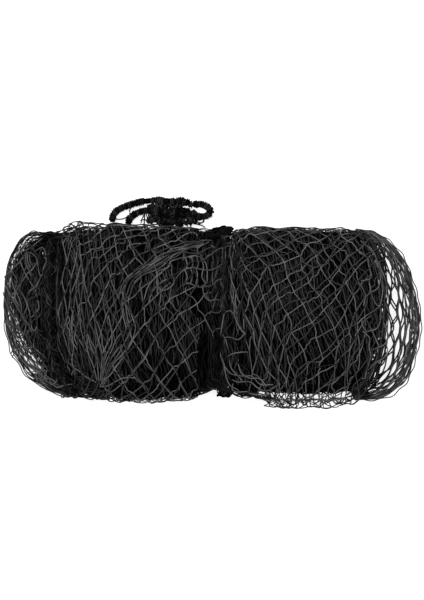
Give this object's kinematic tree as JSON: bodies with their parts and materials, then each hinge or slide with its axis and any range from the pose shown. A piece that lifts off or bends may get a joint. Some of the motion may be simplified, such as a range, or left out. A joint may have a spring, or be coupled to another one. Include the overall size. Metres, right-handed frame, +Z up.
{
  "type": "bundled tennis net",
  "caption": "Black diamond-mesh sports net gathered into a long flat-lying bundle, tied round its waists, with a see-through end pocket and a rope bow.",
  "frame": {"origin": "on the flat underside, at the middle of the bundle's length and width, where it lies on the floor", "axes": "+X along the bundle from the left end to the see-through end pocket, +Y across it towards the bow, +Z up from the floor"},
  "size_m": [1.011, 0.4915, 0.1577],
  "materials": {
    "netting": "black braided polyethylene twine, soft sheen",
    "gathered_netting": "the same twine drawn tight under a tie",
    "tie_rope": "matte black braided rope",
    "border_rope": "matte black braided rope, slightly fuzzy",
    "folded_rope": "matte black braided rope, folded inside the bundle"
  },
  "bodies": {
    "bundle": {"netting_middle_lobe": "netting", "netting_left_waist": "gathered_netting", "netting_middle_waist": "gathered_netting", "netting_right_lobe": "netting", "head_rope_hank": "folded_rope", "foot_rope_hank": "folded_rope", "left_tie_rope": "tie_rope", "left_tie_knot": "tie_rope", "middle_tie_rope": "tie_rope", "middle_tie_upper_knot": "tie_rope", "middle_tie_lower_knot": "tie_rope", "bow_knot": "border_rope", "bow_inner_loop": "border_rope"},
    "left_end": {"netting_left_end": "netting"},
    "end_pocket": {"netting_end_pocket": "netting"},
    "bow_outer": {"bow_outer_loop": "border_rope"},
    "bow_right": {"bow_right_loop": "border_rope"}
  },
  "joints": [
    {"name": "left_end_fold", "type": "hinge", "parent": "bundle", "child": "left_end", "pos_m": [-0.395, 0.166, 0.1], "axis": [-0.1421, 0.9899, 0], "range_deg": [0, 25]},
    {"name": "end_pocket_lift", "type": "hinge", "parent": "bundle", "child": "end_pocket", "pos_m": [0.372, 0, 0.072], "axis": [0, -1, 0], "range_deg": [0, 45]},
    {"name": "bow_outer_flop", "type": "hinge", "parent": "bundle", "child": "bow_outer", "pos_m": [-0.2415, 0.19, 0.012], "axis": [0.8789, 0.477, 0], "range_deg": [0, 90]},
    {"name": "bow_right_flop", "type": "hinge", "parent": "bundle", "child": "bow_right", "pos_m": [-0.046, 0.2165, 0.017], "axis": [0, -1, 0], "range_deg": [0, 90]}
  ]
}
